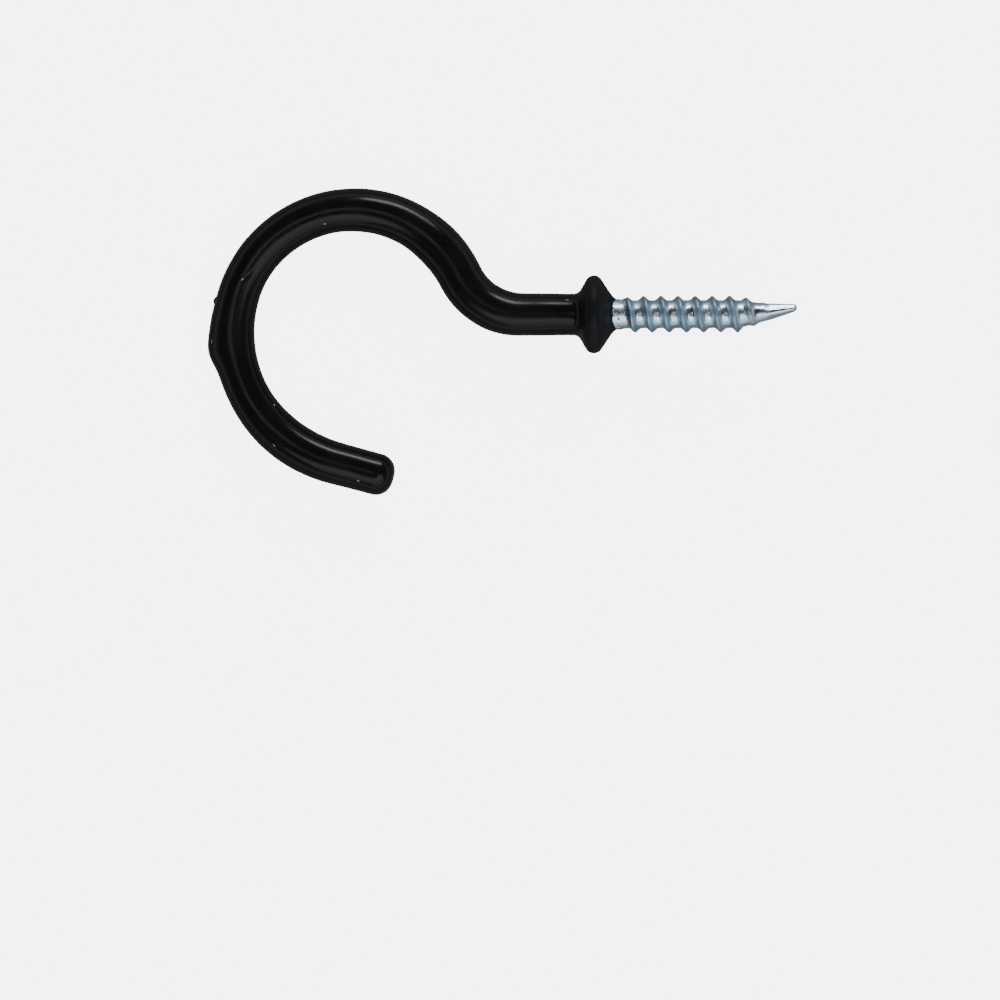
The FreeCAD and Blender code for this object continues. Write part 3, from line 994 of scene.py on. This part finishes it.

# %% [markdown]
# Bright zinc plate is a metal mirror gone slightly soft: bluish, with darker
# smoky patches and a violet tinge where the plate is thinnest, at the point. The
# thread's crest is set duller, and is painted darker and bluer than the bright
# root: painted shade on the ridges. Two kinds
# of spot sit on it near the dip line, pale plating grains and fine splashes of
# vinyl, so both are masked by the distance from the rim.

# %% Zinc plate
ZINC = (0.64, 0.83, 0.96, 1)
ZINC_SMOKY = (0.34, 0.50, 0.62, 1)
ZINC_VIOLET = (0.66, 0.62, 0.76, 1)
# Painted shade on the thread's crest: darker and bluer than the root.
ZINC_CREST_SHADE = (0.26, 0.37, 0.49, 1)
GRAIN = (0.93, 0.95, 0.92, 1)
SPLASH = (0.006, 0.006, 0.007, 1)
ZINC_ROUGH = (0.20, 0.36)
CREST_ROUGH = 0.20
ZINC_WAVE = 0.03 * MM
SPLASH_END, SPLASH_DENSE = 4.6 * MM, 2.75 * MM
SMOKE_EDGE, CREST_EDGE = (0.42, 0.72), (0.18, 0.50)
VIOLET_SHARE, CREST_SHADE_SHARE, GRAIN_SHARE = 0.6, 0.8, 0.6

zinc, tree = new_material("zinc_plate")
place = bench_place(tree)
from_rim = add(tree, "ShaderNodeSeparateXYZ", {"Vector": place}).outputs["X"]
marks = grouped(tree, handling, Place=place, Patch_Scale=620.0, Fine_Scale=3400.0)
smoke = add(tree, "ShaderNodeTexNoise", {"Vector": place, "Scale": 900.0, "Detail": 4.0})
smoked = colour_mix(tree, ramp(tree, smoke.outputs[0], *SMOKE_EDGE), ZINC, ZINC_SMOKY)
ridge = add(tree, "ShaderNodeAttribute", attribute_name="crest").outputs["Fac"]
on_crest = ramp(tree, ridge, *CREST_EDGE)
# Painted shade: the crest is mixed darker and bluer than the bright root.
plated = colour_mix(tree, maths(tree, "MULTIPLY", on_crest, CREST_SHADE_SHARE), smoked, ZINC_CREST_SHADE)
near_point = maths(tree, "MULTIPLY", ramp(tree, from_rim, NOSE_START, SCREW_LENGTH),
                   VIOLET_SHARE)
tinged = colour_mix(tree, near_point, plated, ZINC_VIOLET)
near_dip = ramp(tree, from_rim, SPLASH_END, COAT_FRONT)
grains = grouped(tree, spots, Place=place, Scale=2600.0, Size=0.36, Share=0.62)
grain_mask = maths(tree, "MULTIPLY", grains.outputs["Mask"], near_dip)
grained = colour_mix(tree, grain_mask, tinged, GRAIN)
splashes = grouped(tree, spots, Place=place, Scale=2300.0, Size=0.34, Share=0.44)
splash_mask = maths(tree, "MULTIPLY", splashes.outputs["Mask"], ramp(
    tree, from_rim, SPLASH_END, SPLASH_DENSE))
splashed = colour_mix(tree, splash_mask, grained, SPLASH)
bare = maths(tree, "SUBTRACT", 1.0, maths(tree, "MAXIMUM", splash_mask, maths(
    tree, "MULTIPLY", grain_mask, GRAIN_SHARE)))
rough = maths(tree, "MULTIPLY_ADD", marks.outputs["Gloss"], ZINC_ROUGH[1] - ZINC_ROUGH[0],
              ZINC_ROUGH[0])
rough_crest = maths(tree, "MULTIPLY_ADD", on_crest, CREST_ROUGH, rough)
wave = add(tree, "ShaderNodeBump", {
    "Height": marks.outputs["Height"], "Strength": 1.0, "Distance": ZINC_WAVE})
shader = add(tree, "ShaderNodeBsdfPrincipled", {
    "Base Color": splashed, "Metallic": bare, "Roughness": rough_crest,
    "Normal": wave.outputs["Normal"]})
add(tree, "ShaderNodeOutputMaterial", {"Surface": shader.outputs[0]})
steel.data.materials.append(zinc)
print("zinc material has", len(tree.nodes), "nodes")

# %% [markdown]
# The floor is a plain white table. On a product table the white is lit from
# below, so to the eye it is much brighter than what it throws back on to the
# object, and almost no shadow shows on it. Light Path tells the two apart: a
# camera ray sees the lit white, and every other ray sees a dim matt sheet.

# %% The table
TABLE_SIZE = 12.0
TABLE_WHITE = (0.30, 0.30, 0.30, 1)
TABLE_DIM = (0.34, 0.36, 0.38, 1)
TABLE_GLOW = 5.7


def seen_or_felt(tree, seen, felt):
    """Shows one shader to the camera and another to every other ray."""
    path = add(tree, "ShaderNodeLightPath").outputs["Is Camera Ray"]
    return add(tree, "ShaderNodeMixShader", {0: path, 1: felt, 2: seen}).outputs[0]


table_top, tree = new_material("table_white")
white = add(tree, "ShaderNodeBsdfDiffuse", {"Color": TABLE_WHITE}).outputs[0]
glow = add(tree, "ShaderNodeEmission", {"Strength": TABLE_GLOW}).outputs[0]
lit = add(tree, "ShaderNodeAddShader", {0: white, 1: glow}).outputs[0]
dim = add(tree, "ShaderNodeBsdfDiffuse", {"Color": TABLE_DIM}).outputs[0]
add(tree, "ShaderNodeOutputMaterial", {"Surface": seen_or_felt(tree, lit, dim)})
bpy.ops.object.select_all(action="DESELECT")
bpy.ops.mesh.primitive_plane_add(size=TABLE_SIZE, location=(0, 0, cad_low.z - HAIR))
table = bpy.context.object
table.name = "table"
table.data.materials.append(table_top)
print("table top at", round(table.location.z / MM, 3), "mm")

# %% [markdown]
# The world is split in the same way. The camera sees a white that matches the
# table, so the horizon hardly shows. The object sees a dark studio with a paler
# band low down all round, which draws the soft line along every silhouette.

# %% The world
SKY_DARK, SKY_HORIZON = 0.05, 1.7
HORIZON_BAND = 0.42
SKY_SEEN = 6.6

world = bpy.data.worlds.new("studio")
world.use_nodes = True
world.node_tree.nodes.clear()
tree = world.node_tree
seen = add(tree, "ShaderNodeBackground", {"Strength": SKY_SEEN}).outputs[0]
height = add(tree, "ShaderNodeSeparateXYZ", {
    "Vector": add(tree, "ShaderNodeTexCoord").outputs["Generated"]}).outputs["Z"]
strength = add(tree, "ShaderNodeMapRange", {
    "Value": height, "From Max": HORIZON_BAND, "To Min": SKY_HORIZON,
    "To Max": SKY_DARK}).outputs["Result"]
felt = add(tree, "ShaderNodeBackground", {"Strength": strength}).outputs[0]
add(tree, "ShaderNodeOutputWorld", {"Surface": seen_or_felt(tree, seen, felt)})
bpy.context.scene.world = world
print("world has", len(tree.nodes), "nodes")

# %% [markdown]
# Five light panels hang level, 1.1 m up, so the small hook sees each of them in
# much the same direction from one end to the other.
# Their places and sizes are in shares of that height. A bright one far beyond
# the hook draws the thin line along its far side. A broad pair on the near side,
# both turned a little, gives the wide dim band that opens out round the shoulder
# of the loop. A small one nearly overhead brightens the shoulder, and another
# beside it lays the soft band down the outer side of the loop.

# %% Light panels
PANEL_HEIGHT = 1.1


def panel(name, right, up, turn, length, depth, radiance):
    """A level lamp. right and up are its place in the camera's view."""
    bpy.ops.object.light_add(
        type="AREA", rotation=(0, 0, math.radians(turn)),
        location=(right * PANEL_HEIGHT, up * PANEL_HEIGHT, PANEL_HEIGHT))
    lamp = bpy.context.object
    lamp.name = name
    lamp.data.shape = "RECTANGLE"
    lamp.data.size = length * PANEL_HEIGHT
    lamp.data.size_y = depth * PANEL_HEIGHT
    lamp.data.energy = radiance * math.pi * lamp.data.size * lamp.data.size_y
    lamp.visible_camera = False


panel("far_panel", 0.41, 2.00, 0, 1.00, 0.90, 16.0)
panel("near_panel_high", 0.046, -0.653, 25, 1.70, 0.54, 2.3)
panel("near_panel_low", 0.50, -1.567, 25, 2.25, 1.50, 1.5)
panel("shoulder_panel", 0.21, -0.18, -45, 0.22, 0.13, 2.8)
panel("side_panel", -0.27, 0.07, 0, 0.32, 0.19, 2.0)

# %% [markdown]
# Last, each piece is hung on the root body, which carries it, and the imported
# node it stands for is hidden.

# %% Hand the pieces over
for piece, node, finish in ((coat, "vinyl_coat", "black_vinyl"),
                            (steel, "steel_hook", "zinc_plated_steel")):
    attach(piece, "root")
    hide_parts(node)
